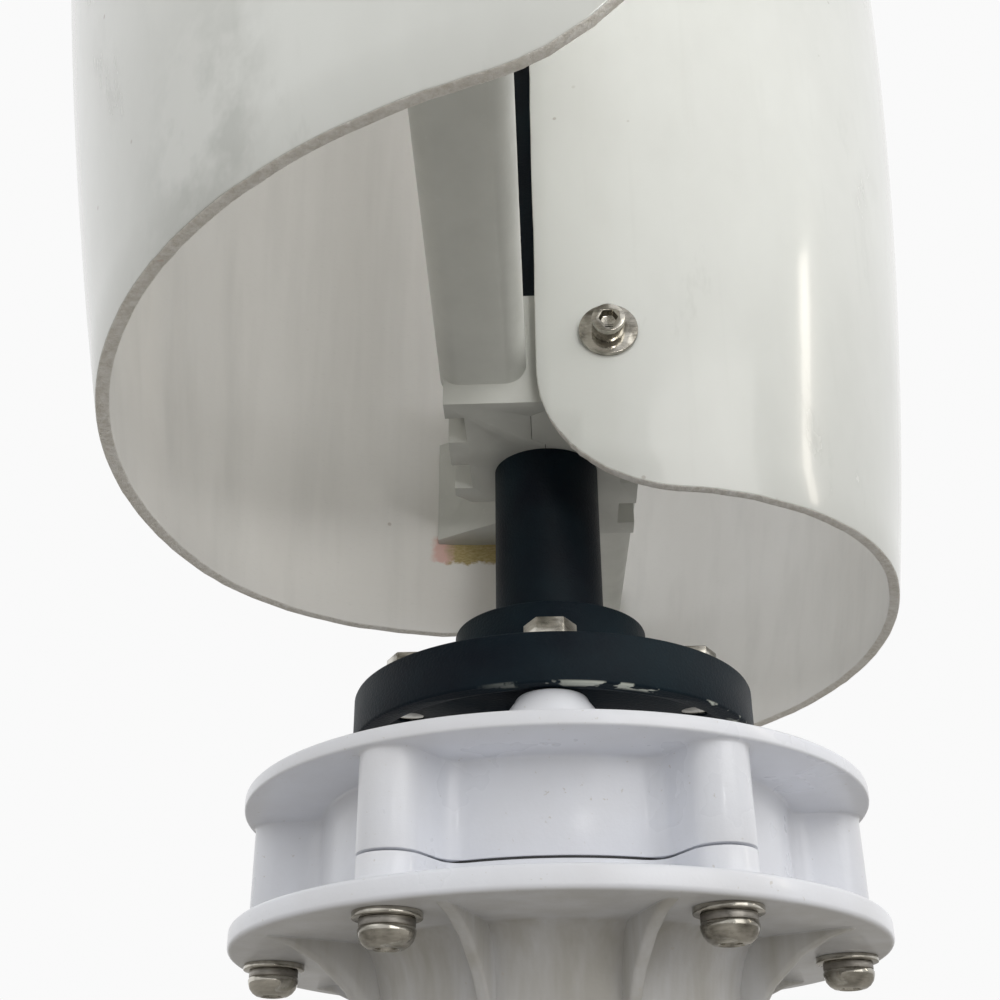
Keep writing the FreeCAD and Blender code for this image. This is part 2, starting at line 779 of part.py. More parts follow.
def on_arc(arc, angle, offset=0.0):
    return arc[0] + V(math.sin(angle), -math.cos(angle), 0) * (arc[1] + offset)


def blade_spot(height, across, tail):
    """Mid surface point and outward normal where x is across, on the margin or on the tail."""
    spots = []
    for level in (height, height + 1.0):
        arc = blade_arcs((level - num("blade_z")) / num("blade_height"))[1 if tail else 0]
        lean = math.asin((across - arc[0].x) / arc[1])
        angle = math.pi - lean if tail else lean
        spots.append((on_arc(arc, angle) + V(0, 0, level), angle))
    point, angle = spots[0]
    along = V(math.cos(angle), math.sin(angle), 0)
    normal = along.cross(spots[1][0] - point)
    return point, normal.normalize()


def blade_section(sketch, level, inside, outside):
    near, far = blade_arcs(level)

    def arc_curve(arc, offset):
        hub = Part.Circle(arc[0], Z_AXIS, arc[1] + offset)
        return Part.ArcOfCircle(hub, arc[2] - math.pi / 2, arc[3] - math.pi / 2)

    def end_line(arc, angle):
        return Part.LineSegment(on_arc(arc, angle, inside), on_arc(arc, angle, outside))

    for curve in (arc_curve(near, outside), arc_curve(far, outside), end_line(far, far[3]),
                  arc_curve(far, inside), arc_curve(near, inside), end_line(near, near[2])):
        sketch.addGeometry(curve, False)
    for pair in ((0, 2, 1, 1), (1, 2, 2, 2), (2, 1, 3, 2), (3, 1, 4, 2), (4, 1, 5, 1), (5, 2, 0, 1)):
        sketch.addConstraint(Sketcher.Constraint("Coincident", *pair))
    return sketch


def blade_loft(name, inside, outside):
    """Sheet between two offsets of the mid surface, lofted through level sections."""
    body = new_body(name)
    sections = []
    for index in range(BLADE_LEVELS):
        level = index / (BLADE_LEVELS - 1)
        height = "blade_z + %s*blade_height" % level
        sketch = new_sketch(body, "%s_section%d" % (name, index), "XY_Plane", height)
        sections.append(blade_section(sketch, level, inside, outside))
    loft = body.newObject("PartDesign::AdditiveLoft", name + "_loft")
    loft.Profile = sections[0]
    loft.Sections = sections[1:]
    loft.Ruled = False
    return body


def corner_cuts(sketch, edge):
    """The waste outside a rounded corner at the foot and at the head of a blade's upright edge."""
    radius = num("blade_corner")
    side = num(edge)
    past = side - CORNER_WASTE
    for end, way in ((num("blade_z"), 1), (num("blade_z + blade_height"), -1)):
        centre = V(side + radius, end + way * radius, 0)
        first = sketch.GeometryCount
        corners = [V(side, centre.y, 0), V(past, centre.y, 0), V(past, end - way * PAST_EDGE, 0),
                   V(centre.x, end - way * PAST_EDGE, 0), V(centre.x, end, 0)]
        for start, stop in zip(corners, corners[1:]):
            sketch.addGeometry(Part.LineSegment(start, stop), False)
        turn = (math.pi, 1.5 * math.pi) if way > 0 else (0.5 * math.pi, math.pi)
        sketch.addGeometry(Part.ArcOfCircle(Part.Circle(centre, Z_AXIS, radius), *turn), False)
        for step in range(3):
            rule = Sketcher.Constraint("Coincident", first + step, 2, first + step + 1, 1)
            sketch.addConstraint(rule)
        arc_ends = (1, 2) if way > 0 else (2, 1)
        sketch.addConstraint(Sketcher.Constraint("Coincident", first + 4, arc_ends[0], first, 1))
        sketch.addConstraint(Sketcher.Constraint("Coincident", first + 4, arc_ends[1], first + 3, 2))


def blade_screw_places():
    """Mid surface point, outward normal and depth of the nut's seat of each screw of one bracket."""
    point, normal = blade_spot(num("margin_screw_z"), num("margin_screw_x"), False)
    places = [(point, normal, num("margin_grip"))]
    point, normal = blade_spot(num("pad_z"), num("arm_left + 0.5*arm_width"), True)
    rise = (Z_AXIS - normal * normal.z).normalize()
    for side in (-1, 1):
        spot = point + rise * (side * num("pad_screw_pitch"))
        places.append((spot, normal, num("pad_thickness + 0.5*blade_thickness")))
    return places


def screw_holes(word):
    holes = []
    middle = num("blade_z + 0.5*blade_height")
    for index, (spot, way, depth) in enumerate(blade_screw_places()):
        for level in (1, -1):
            hole = cylinder("%s_hole%d_%d" % (word, index, level + 1), "blade_screw + hole_gap", "40")
            axis = V(way.x, way.y, level * way.z)
            place = V(spot.x, spot.y, middle + level * (spot.z - middle))
            holes.append(aimed(hole, place - axis * 20, axis))
    return holes


def make_blade(word, turn):
    body = blade_loft("sheet_" + word, -num("0.5*blade_thickness"), num("0.5*blade_thickness"))
    margin = new_sketch(body, word + "_margin_corners", "XZ_Plane", "120")
    corner_cuts(margin, "blade_edge_x - 0.5*blade_thickness")
    pocketed(body, word + "_margin_pocket", margin, "120", up=False)
    tail = new_sketch(body, word + "_tail_corners", "XZ_Plane", "-110")
    corner_cuts(tail, "blade_tail_x")
    pocketed(body, word + "_tail_pocket", tail, "260", up=False)
    blade = cut("blade_cut_" + word, body, screw_holes(word))
    blade.Placement = FreeCAD.Placement(V(0, 0, 0), FreeCAD.Rotation(Z_AXIS, turn))
    return node(blade, "blade_" + word)


# ---- brackets ----


def make_bracket(word, turn):
    """Half hub with its arm: it holds one blade at the margin and at the tail."""
    body = new_body("hub_half_" + word)
    back = "hub_half_width - tooth_depth"
    outline = [
        ("seam_gap", "hub_half_length"),
        ("seam_gap", "hub_half_length - key_end - key_ramp_out"),
        ("key_depth + seam_gap", "hub_half_length - key_end - 2*key_ramp_out"),
        ("key_depth + seam_gap", "tube_radius + key_wall + key_ramp_in"),
        ("seam_gap", "tube_radius + key_wall"),
        ("seam_gap", "0 - tube_radius - key_wall"),
        ("seam_gap - key_depth", "0 - tube_radius - key_wall - key_ramp_in - key_fit"),
        ("seam_gap - key_depth", "key_end + 2*key_ramp_out + key_fit - hub_half_length"),
        ("seam_gap", "key_end + key_ramp_out - hub_half_length"),
        ("seam_gap", "0 - wing_end"),
        ("wing_reach", "0 - wing_end"),
        ("wing_reach", "0 - wing_top"),
        ("tongue_width", "0 - clamp_y - nut_seat_out"),
        ("tongue_width", "nut_seat_in - clamp_y"),
        ("hub_half_width - hub_chamfer", "nut_seat_in - clamp_y"),
        ("hub_half_width", "nut_seat_in - clamp_y + hub_chamfer_rise"),
        ("hub_half_width", "0 - slot_half - slot_shift"),
        (back, "0 - slot_half - slot_shift"),
        (back, "slot_half - slot_shift"),
        ("hub_half_width", "slot_half - slot_shift"),
        ("hub_half_width", "clamp_y - head_seat_in"),
        (back, "clamp_y - head_seat_in"),
        (back, "clamp_y + head_seat_out"),
        ("hub_half_width", "clamp_y + head_seat_out"),
        ("hub_half_width", "hub_half_length"),
    ]
    sketch = polygon(new_sketch(body, word + "_hub_outline", "XY_Plane", "hub_z"), outline)
    padded(body, word + "_hub_pad", sketch, "hub_height")

    arm = new_body("arm_" + word)
    root = new_sketch(arm, word + "_arm_section", "XZ_Plane", "5 - hub_half_length")
    half = num("0.5*arm_thickness")
    low = num("hub_z + arm_rise")
    left = num("arm_left") + half
    right = num("arm_left + arm_width") - half
    root.addGeometry(Part.LineSegment(V(left, low, 0), V(right, low, 0)), False)
    end = Part.Circle(V(right, low + half, 0), Z_AXIS, half)
    root.addGeometry(Part.ArcOfCircle(end, -math.pi / 2, math.pi / 2), False)
    root.addGeometry(Part.LineSegment(V(right, low + 2 * half, 0), V(left, low + 2 * half, 0)), False)
    end = Part.Circle(V(left, low + half, 0), Z_AXIS, half)
    root.addGeometry(Part.ArcOfCircle(end, math.pi / 2, 1.5 * math.pi), False)
    for here, after in ((0, 1), (1, 2), (2, 3), (3, 0)):
        root.addConstraint(Sketcher.Constraint("Coincident", here, 2, after, 1))
    reach = padded(arm, word + "_arm_pad", root, "blade_end_outer + 60")
    reach.UseCustomVector = True
    reach.Direction = V(0, 1, num("arm_slope"))
    reach.Reversed = False

    spot, way = blade_spot(num("pad_z"), num("arm_left + 0.5*arm_width"), True)
    pad = doc.addObject("Part::Box", word + "_pad")
    bind(pad, "Length", "arm_width")
    bind(pad, "Width", "pad_thickness + 12")
    bind(pad, "Height", "pad_height")
    lean = FreeCAD.Rotation(V(0, 1, 0), way)
    corner = V(-num("0.5*arm_width"), -num("pad_thickness + 0.5*blade_thickness"), -num("0.5*pad_height"))
    pad.Placement = FreeCAD.Placement(spot + lean.multVec(corner), lean)

    gap = num("fit_gap")
    inside = -num("0.5*blade_thickness") - gap
    waste = blade_loft("waste_" + word, inside, WASTE)
    tools = [waste, cylinder(word + "_clamp_bore", "tube_radius + bore_gap", "hub_height + 2", "hub_z - 1")]
    holes = []
    for index, (place, out, depth) in enumerate(blade_screw_places()):
        hole = cylinder("%s_bracket_hole%d" % (word, index), "blade_screw + hole_gap", "50")
        holes.append(aimed(hole, place - out * 25, out))
        spot_face = cylinder("%s_spot_face%d" % (word, index), "blade_nut + 0.8", "8")
        holes.append(aimed(spot_face, place - out * depth, out * -1))
    for index, (side, level) in enumerate(clamp_places()):
        hole = cylinder("%s_clamp_hole%d" % (word, index), "clamp_screw + hole_gap", "80")
        holes.append(aimed(hole, V(-40, side, level), V(1, 0, 0)))
    bracket = cut("bracket_cut_" + word, fused("bracket_fused_" + word, [body, arm, pad]), tools + holes)
    bracket.Placement = FreeCAD.Placement(V(0, 0, 0), FreeCAD.Rotation(Z_AXIS, turn))
    node(bracket, "lower_bracket_" + word)
    node(mirrored("upper_bracket_" + word, bracket), "upper_bracket_" + word)


def clamp_places():
    middle = num("hub_z + 0.5*hub_height")
    half = num("0.5*clamp_pitch")
    return [(side * num("clamp_y"), middle + step * half) for side in (-1, 1) for step in (-1, 1)]


def bored_hex(name, radius, height, bore, base, way):
    block = aimed(prism(name + "_block", radius, height), base, way)
    hole = aimed(cylinder(name + "_bore", bore, height), base, way)
    return cut(name, block, [hole])


def make_clamp_bolts():
    bolts = []
    nuts = []
    for index, (side, level) in enumerate(clamp_places()):
        way = V(1, 0, 0) if side < 0 else V(-1, 0, 0)
        seat = V(0, side, level) - way * num("hub_half_width - tooth_depth")
        head = prism("clamp_head%d" % index, "clamp_hex", "clamp_hex_height")
        aimed(head, seat - way * num("clamp_hex_height"), way)
        reach = "hub_half_width - tooth_depth + tongue_width + clamp_hex_height + 3"
        shank = cylinder("clamp_shank%d" % index, "clamp_screw", reach)
        aimed(shank, seat - way * 1.0, way)
        bolts.append(fused("clamp_bolt%d" % index, [head, shank]))
        base = V(0, side, level) + way * num("tongue_width")
        nuts.append(bored_hex("clamp_nut%d" % index, "clamp_hex", "clamp_hex_height + 0.5",
                              "clamp_screw + bore_gap", base, way))
    bolt_set = node(group("clamp_bolt_set", bolts), "lower_clamp_bolts")
    nut_set = node(group("clamp_nut_set", nuts), "lower_clamp_nuts")
    node(mirrored("upper_clamp_bolt_set", bolt_set), "upper_clamp_bolts")
    node(mirrored("upper_clamp_nut_set", nut_set), "upper_clamp_nuts")


def make_blade_screws():
    """Socket screw, washer and nut at each hole, for the first blade and for its half-turn copy."""
    screws = []
    washers = []
    nuts = []
    for copy in (0, 180):
        spin = FreeCAD.Rotation(Z_AXIS, copy)
        for index, (place, out, depth) in enumerate(blade_screw_places()):
            word = "%d_%d" % (copy, index)
            way = spin.multVec(out)
            seat = spin.multVec(place) + way * num("0.5*blade_thickness + fit_gap")
            top = seat + way * num("washer_thickness")
            nut_seat = depth + num("0.5*blade_thickness + fit_gap")
            shank = cylinder("blade_shank" + word, "blade_screw", "3")
            length = nut_seat + num("washer_thickness + blade_nut_height + 1")
            shank.Height = length
            aimed(shank, top - way * length, way)
            head = cylinder("blade_head" + word, "blade_head_radius", "blade_head_height")
            socket = prism("blade_socket" + word, "2.9", "3")
            aimed(head, top, way)
            aimed(socket, top + way * num("blade_head_height - 3"), way)
            hollow = cut("blade_cap" + word, head, [socket])
            screws.append(fused("blade_screw" + word, [hollow, shank]))
            plate = cylinder("blade_washer_plate" + word, "blade_washer", "washer_thickness")
            bore = cylinder("blade_washer_bore" + word, "blade_screw + hole_gap", "washer_thickness")
            for thing in (plate, bore):
                aimed(thing, seat, way)
            washers.append(cut("blade_washer" + word, plate, [bore]))
            base = seat - way * (nut_seat + num("blade_nut_height"))
            nuts.append(bored_hex("blade_nut" + word, "blade_nut", "blade_nut_height",
                                  "blade_screw + bore_gap", base, way))
    for parts, label in ((screws, "blade_screws"), (washers, "blade_washers"), (nuts, "blade_nuts")):
        lower = node(group("lower_%s_set" % label, parts), "lower_" + label)
        node(mirrored("upper_%s_set" % label, lower), "upper_" + label)


make_lower_housing()
make_upper_housing()
make_gasket()
make_housing_screws()
make_stator()
make_rotor()
make_bearing("lower", "lower_bearing_z")
make_bearing("upper", "upper_bearing_z")
make_shaft()
make_grommet()
make_output()
make_tube()
for letter, half_turn in (("b", 0), ("a", 180)):
    make_blade(letter, half_turn)
    make_bracket(letter, half_turn)
make_clamp_bolts()
make_blade_screws()

doc.recompute()
for thing in doc.Objects:
    if "Invalid" in thing.State or "Error" in thing.State:
        raise RuntimeError("%s failed: %s" % (thing.Name, thing.State))
for thing in nodes:
    if thing.Shape.isNull() or not thing.Shape.isValid():
        raise RuntimeError("bad shape: " + thing.Label)

os.makedirs("parts", exist_ok=True)
for thing in nodes:
    thing.Shape.exportStep("parts/%s.step" % thing.Label)
    box = thing.Shape.BoundBox
    print("%-28s solids %2d  x %7.1f %7.1f  y %7.1f %7.1f  z %7.1f %7.1f" % (
        thing.Label, len(thing.Shape.Solids), box.XMin, box.XMax, box.YMin, box.YMax, box.ZMin, box.ZMax))
print("nodes", len(nodes))
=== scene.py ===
import json
import math

import bmesh
import bpy
from mathutils import Matrix, Vector

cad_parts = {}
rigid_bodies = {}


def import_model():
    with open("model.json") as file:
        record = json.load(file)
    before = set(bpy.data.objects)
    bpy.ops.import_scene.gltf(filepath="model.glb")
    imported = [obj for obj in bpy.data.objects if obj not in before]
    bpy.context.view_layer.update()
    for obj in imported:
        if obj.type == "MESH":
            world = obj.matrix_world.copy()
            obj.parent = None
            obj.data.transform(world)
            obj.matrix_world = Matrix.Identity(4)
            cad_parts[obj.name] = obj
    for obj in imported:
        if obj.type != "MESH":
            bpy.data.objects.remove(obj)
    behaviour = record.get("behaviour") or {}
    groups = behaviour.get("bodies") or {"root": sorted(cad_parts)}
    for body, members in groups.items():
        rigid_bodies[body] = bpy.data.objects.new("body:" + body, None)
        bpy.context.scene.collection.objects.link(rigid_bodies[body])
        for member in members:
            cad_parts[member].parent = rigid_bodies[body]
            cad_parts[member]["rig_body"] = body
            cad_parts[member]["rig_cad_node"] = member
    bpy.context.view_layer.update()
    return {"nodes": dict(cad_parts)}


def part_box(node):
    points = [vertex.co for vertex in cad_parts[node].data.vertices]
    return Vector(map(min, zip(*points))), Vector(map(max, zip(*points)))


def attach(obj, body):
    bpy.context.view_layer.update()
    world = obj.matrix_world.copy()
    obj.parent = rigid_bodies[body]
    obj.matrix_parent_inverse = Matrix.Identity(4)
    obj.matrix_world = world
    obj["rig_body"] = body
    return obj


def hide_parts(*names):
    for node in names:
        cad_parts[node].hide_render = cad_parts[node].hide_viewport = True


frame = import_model()
mm = 0.001
up = Vector((0, 0, 1))
samePlace = 1e-6  # a corner is found within this distance
weld = 2e-6  # points nearer than this are merged


# Camera, light and floor

camera = {
    "place": (0, -0.3962, 0.040),
    "yaw": -0.039,  # radians, as are the next two
    "pitch": 0.493,
    "roll": -0.007,
    "lens": 48.96,
    "sensor": 36,
    "nearest": 0.01,
}


def addCamera(settings):
    yaw, pitch, roll = settings["yaw"], settings["pitch"], settings["roll"]
    ahead = Vector((math.sin(yaw) * math.cos(pitch), math.cos(yaw) * math.cos(pitch),
                    math.sin(pitch)))
    right = Vector((math.cos(yaw), -math.sin(yaw), 0))
    high = right.cross(ahead)
    right, high = (right * math.cos(roll) + high * math.sin(roll),
                   high * math.cos(roll) - right * math.sin(roll))
    bpy.ops.object.camera_add(location=settings["place"])
    view = bpy.context.object
    turn = Matrix((right, high, -ahead)).transposed()
    view.matrix_world = Matrix.Translation(settings["place"]) @ turn.to_4x4()
    view.data.lens = settings["lens"]
    view.data.sensor_width = settings["sensor"]
    view.data.clip_start = settings["nearest"]
    bpy.context.scene.camera = view


lights = (
    # name, place, target, width, height, spread in degrees, power, colour
    ("skyLeft", (-1.5, -1.2, 1.9), (0, 0, 0.35), 1.6, 1.6, 180, 3.0, (0.97, 0.99, 1.0)),
    ("skyRight", (1.25, -1.75, 0.75), (0, 0.02, 0.33), 1.5, 1.5, 180, 11.5, (1.0, 0.985, 0.96)),
    ("warmStrip", (1.75, -0.35, 0.95), (0.08, 0, 0.35), 0.13, 0.9, 180, 2.2, (1.0, 0.93, 0.82)),
    ("innerFill", (0.3, -1.5, 0.03), (-0.05, 0.03, 0.43), 0.4, 0.4, 24, 0.60, (1.0, 0.985, 0.965)),
)


def addLight(name, place, target, width, height, spread, power, colour):
    bpy.ops.object.light_add(type="AREA", location=place)
    lamp = bpy.context.object
    lamp.name = name
    lamp.data.shape = "RECTANGLE"
    lamp.data.size = width
    lamp.data.size_y = height
    lamp.data.spread = math.radians(spread)
    lamp.data.energy = power
    lamp.data.color = colour
    lamp.rotation_euler = (Vector(target) - Vector(place)).to_track_quat("-Z", "Y").to_euler()


studio = {
    "sky": (0.955, 0.955, 0.955, 1),
    "floorRadius": 6,
    "floorSides": 96,
    "floorHeight": -0.001,
    "floorTones": ((0.37, 0.355, 0.33), (0.40, 0.385, 0.36)),
    "floorClouds": 3,
    "floorRoughness": 0.9,
}


def addFloorAndSky(settings):
    bpy.ops.object.select_all(action="DESELECT")
    bpy.ops.mesh.primitive_circle_add(
        radius=settings["floorRadius"], vertices=settings["floorSides"], fill_type="NGON",
        location=(0, 0, settings["floorHeight"]))
    floor = bpy.context.object
    floor.name = "floor"
    finish = Finish("paleFloor", Roughness=settings["floorRoughness"])
    clouds = finish.place.noise(settings["floorClouds"])
    finish.feed("Base Color", clouds.blend(*settings["floorTones"]))
    floor.data.materials.append(finish.material)
    bpy.ops.object.transform_apply(location=True, rotation=True, scale=True)
    world = bpy.data.worlds.new("studio")
    bpy.context.scene.world = world
    world.use_nodes = True
    world.node_tree.nodes["Background"].inputs["Color"].default_value = settings["sky"]
    bpy.context.scene.view_settings.view_transform = "Standard"


# Shader maths

class Link:
    def __init__(self, tree, socket=None):
        self.tree = tree
        self.socket = socket

    def add(self, kind, settings=(), sockets=(), output=0):
        node = self.tree.nodes.new(kind)
        for word, value in dict(settings).items():
            setattr(node, word, value)
        for name, value in dict(sockets).items():
            if isinstance(value, Link):
                self.tree.links.new(value.socket, node.inputs[name])
            else:
                node.inputs[name].default_value = value
        return Link(self.tree, node.outputs[output])

    def maths(self, operation, first, second):
        return self.add("ShaderNodeMath", {"operation": operation}, {0: first, 1: second})

    def __add__(self, other):
        return self.maths("ADD", self, other)

    __radd__ = __add__

    def __sub__(self, other):
        return self.maths("SUBTRACT", self, other)

    def __rsub__(self, other):
        return self.maths("SUBTRACT", other, self)

    def __mul__(self, other):
        return self.maths("MULTIPLY", self, other)

    __rmul__ = __mul__

    def noise(self, scale, detail=3.0, rough=0.55):
        return self.add("ShaderNodeTexNoise", (), {
            "Vector": self, "Scale": scale, "Detail": detail, "Roughness": rough})

    def cells(self, scale):
        return self.add("ShaderNodeTexVoronoi", (), {"Vector": self, "Scale": scale})

    def stretched(self, height):
        return self.add("ShaderNodeMapping", (), {"Vector": self, "Scale": (1, 1, height)})

    def between(self, low, high):  # 0 under low, 1 over high
        return self.add("ShaderNodeMapRange", {"clamp": True}, {
            "Value": self, "From Min": low, "From Max": high})

    def blend(self, first, second):  # colour that goes from first to second with this mask
        pair = [(*tone, 1) if isinstance(tone, tuple) else tone for tone in (first, second)]
        return self.add("ShaderNodeMix", {"data_type": "RGBA"}, {
            0: self, 6: pair[0], 7: pair[1]}, 2)

    def axis(self, word):
        return self.add("ShaderNodeSeparateXYZ", (), {0: self}, "XYZ".index(word))


class Finish:
    def __init__(self, name, **fixed):
        self.material = bpy.data.materials.new(name)
        self.material.use_nodes = True
        self.tree = self.material.node_tree
        self.shader = self.tree.nodes["Principled BSDF"]
        self.place = Link(self.tree).add("ShaderNodeTexCoord", output=3)  # Object
        for word, value in fixed.items():
            self.shader.inputs[word.replace("_", " ")].default_value = value

    def feed(self, word, link):
        self.tree.links.new(link.socket, self.shader.inputs[word])

    def bump(self, height, strength, distance):
        self.feed("Normal", height.add("ShaderNodeBump", (), {
            "Height": height, "Strength": strength, "Distance": distance}))


# White coating of the generator housing, with painted shade below the rim

coating = {
    "light": (0.765, 0.785, 0.84),
    "dull": (0.705, 0.715, 0.75),
    "dirt": (0.50, 0.47, 0.41),
    "grime": (0.40, 0.385, 0.345),  # painted shade under the rim and on the neck
    "paintedShadeTop": 0.1058,
    "paintedShadeFade": 0.0009,
    "paintedShadeLeast": 0.35,
    "paintedShadeStreaks": 0.55,
    "roughness": 0.26,
    "peelHeight": 0.00025,
}


def makeWhiteCoating(settings):
    finish = Finish("whiteCoating", Coat_Weight=0.3, Coat_Roughness=0.12, Specular_IOR_Level=0.45)
    place = finish.place
    cloud = place.noise(26, 4).between(0.35, 0.68)
    specks = place.noise(620, 2).between(0.70, 0.76)
    top = settings["paintedShadeTop"]
    # painted shade: below the rim the coating is blended towards dark grey, in streaks
    under = 1 - place.axis("Z").between(top, top + settings["paintedShadeFade"])
    streaks = place.stretched(0.15).noise(70, 4, 0.65).between(0.25, 0.62)
    shadeMask = under * (streaks * settings["paintedShadeStreaks"] + settings["paintedShadeLeast"])
    base = cloud.blend(settings["light"], settings["dull"])
    base = shadeMask.blend(base, settings["grime"])
    finish.feed("Base Color", (specks * 0.5).blend(base, settings["dirt"]))
    finish.feed("Roughness", cloud * 0.12 + under * 0.08 + settings["roughness"])
    peel = place.noise(900, 2) * 0.7 + place.noise(160, 2)
    finish.bump(peel, 0.22, settings["peelHeight"])
    return finish.material


# Blade sheet: glossy outside, duller inside, sawn edge; places in metres

sheet = {
    "light": (0.585, 0.60, 0.575),
    "dull": (0.50, 0.51, 0.485),
    "smudge": (0.33, 0.34, 0.315),
    "speck": (0.30, 0.27, 0.23),
    "outerRoughness": 0.17,
    "rubbedTop": (0.26, 0.55),  # height over which the rubbed marks thin out
    "handledLeft": (-0.095, -0.074),  # hand marks by the lower edge
    "handledRight": (-0.062, -0.05),
    "handledFront": (-0.13, -0.10),
    "handledTop": (0.245, 0.285),
    # the inside tones are much lighter than the outside ones: painted light that brightens the
    # shaded inside of the curve
    "inner": (0.85, 0.84, 0.81),
    "innerDull": (0.78, 0.765, 0.73),
    "innerSpeck": (0.33, 0.27, 0.22),
    "innerRoughness": 0.34,
    "resin": ((0.36, 0.275, 0.10), (0.52, 0.43, 0.22)),  # bare patch of fibre under one bracket
    "resinRim": (0.74, 0.50, 0.45),
    "resinLeft": (-0.043, -0.040),
    "resinCore": (-0.0375, -0.0345),
    "resinRight": (-0.017, -0.013),
    "resinFoot": (0.2545, 0.2555),
    "resinTop": (0.264, 0.266),
    "resinDepth": (0.03, 0.04),
    "resinWander": 0.006,
    "edge": ((0.70, 0.665, 0.60), (0.93, 0.91, 0.87)),
    "edgeBare": (0.95, 0.94, 0.91),
    "edgeRust": (0.52, 0.33, 0.24),
    "edgeRoughness": 0.85,
    "sawHeight": 0.0006,
}


def makeSheetOuter(settings):
    finish = Finish("sheetOuter", Coat_Weight=0.45, Coat_Roughness=0.07)
    place = finish.place
    cloud = place.stretched(0.5).noise(9, 5, 0.6).between(0.38, 0.70)
    rubbed = place.stretched(0.35).noise(21, 6, 0.7).between(0.60, 0.74)
    low = 1 - place.axis("Z").between(*settings["rubbedTop"])
    streaks = place.stretched(0.03).noise(160, 2).between(0.62, 0.80)
    specks = 1 - place.cells(75).between(0.035, 0.06)
    rare = place.noise(14, 1).between(0.56, 0.62)
    across, depth, height = (place.axis(word) for word in "XYZ")
    handled = across.between(*settings["handledLeft"])
    handled = handled * (1 - across.between(*settings["handledRight"]))
    handled = handled * (1 - depth.between(*settings["handledFront"]))
    handled = handled * (1 - height.between(*settings["handledTop"]))
    handled = handled * place.noise(45, 4, 0.65).between(0.42, 0.60)
    base = cloud.blend(settings["light"], settings["dull"])
    for mark in (rubbed * (low * 0.4 + 0.12), streaks * 0.10, handled * 0.5):
        base = mark.blend(base, settings["smudge"])
    finish.feed("Base Color", (specks * rare * 0.6).blend(base, settings["speck"]))
    finish.feed("Roughness", cloud * 0.10 + rubbed * 0.22 + settings["outerRoughness"])
    finish.bump(place.noise(34, 2) + place.noise(700, 2) * 0.06, 0.16, 0.0012)
    return finish.material


def makeSheetInner(settings):
    finish = Finish("sheetInner", Coat_Weight=0.15, Coat_Roughness=0.3)
    place = finish.place
    cloud = place.stretched(0.4).noise(11, 5, 0.62).between(0.36, 0.70)
    runs = place.stretched(0.06).noise(70, 3).between(0.5, 0.8)
    fibres = place.stretched(6).noise(420, 3).between(0.58, 0.8)
    specks = 1 - place.cells(60).between(0.03, 0.055)
    rare = place.noise(12, 1).between(0.57, 0.63)
    # painted light: the inside takes the lighter inside tones
    base = cloud.blend(settings["inner"], settings["innerDull"])
    base = (runs * 0.16 + fibres * 0.10).blend(base, settings["smudge"])
    across, depth, height = (place.axis(word) for word in "XYZ")
    reach = settings["resinWander"]
    wander = place.noise(190, 3, 0.7) * reach - reach / 2
    patch = (across + wander).between(*settings["resinLeft"])
    patch = patch * (1 - across.between(*settings["resinRight"]))
    patch = patch * (height + wander).between(*settings["resinFoot"])
    patch = patch * (1 - height.between(*settings["resinTop"]))
    patch = patch * depth.between(*settings["resinDepth"])
    strands = place.stretched(3).noise(600, 3, 0.7).between(0.35, 0.65)
    core = (across + wander).between(*settings["resinCore"])
    bare = core.blend(settings["resinRim"], strands.blend(*settings["resin"]))
    base = patch.blend(base, bare)
    finish.feed("Base Color", (specks * rare * 0.55).blend(base, settings["innerSpeck"]))
    finish.feed("Roughness", cloud * 0.14 + settings["innerRoughness"])
    finish.bump(place.noise(28, 2) + fibres * 0.05, 0.16, 0.0010)
    return finish.material


def makeSheetEdge(settings):
    finish = Finish("sheetEdge", Specular_IOR_Level=0.3)
    place = finish.place
    grain = place.noise(520, 5, 0.7).between(0.34, 0.68)
    bare = place.noise(90, 4, 0.65).between(0.50, 0.66)
    rust = place.noise(260, 3, 0.6).between(0.64, 0.70) * place.noise(22, 2).between(0.5, 0.6)
    base = grain.blend(*settings["edge"])
    base = (bare * 0.6).blend(base, settings["edgeBare"])
    finish.feed("Base Color", (rust * 0.6).blend(base, settings["edgeRust"]))
    finish.feed("Roughness", grain * -0.15 + settings["edgeRoughness"])
    finish.bump(grain + place.noise(1500, 2) * 0.5, 0.9, settings["sawHeight"])
    return finish.material


# Moulded brackets

nylon = {
    "light": (0.57, 0.58, 0.545),
    "dull": (0.49, 0.50, 0.47),
    "scuff": (0.68, 0.685, 0.66),
    "roughness": 0.40,
    "grainHeight": 0.0002,
}


def makeNylon(settings):
    finish = Finish("mouldedNylon", Coat_Weight=0.08, Coat_Roughness=0.3)
    place = finish.place
    cloud = place.noise(38, 4).between(0.35, 0.70)
    scuffs = place.noise(210, 5, 0.7).between(0.63, 0.74)
    base = cloud.blend(settings["light"], settings["dull"])
    finish.feed("Base Color", (scuffs * 0.35).blend(base, settings["scuff"]))
    finish.feed("Roughness", cloud * 0.12 + scuffs * 0.1 + settings["roughness"])
    finish.bump(place.noise(1300, 3) * 0.6 + place.noise(90, 2), 0.25, settings["grainHeight"])
    return finish.material


# Black powder coat of the tube and flanges; places in metres

blackPowder = {
    "deep": (0.0004, 0.0032, 0.0078),
    "worn": (0.0045, 0.0140, 0.0200),
    "roughness": 0.46,
    "grainHeight": 0.00022,
    "bare": ((0.50, 0.52, 0.46), (0.66, 0.64, 0.56)),
    "chipHeights": (0.0003, 0.0007),  # above the rim's foot
    "chipRadii": (0.0562, 0.0578),
    "chipSide": (-0.020, 0.012),
    "chipFront": (-0.025, -0.01),
}


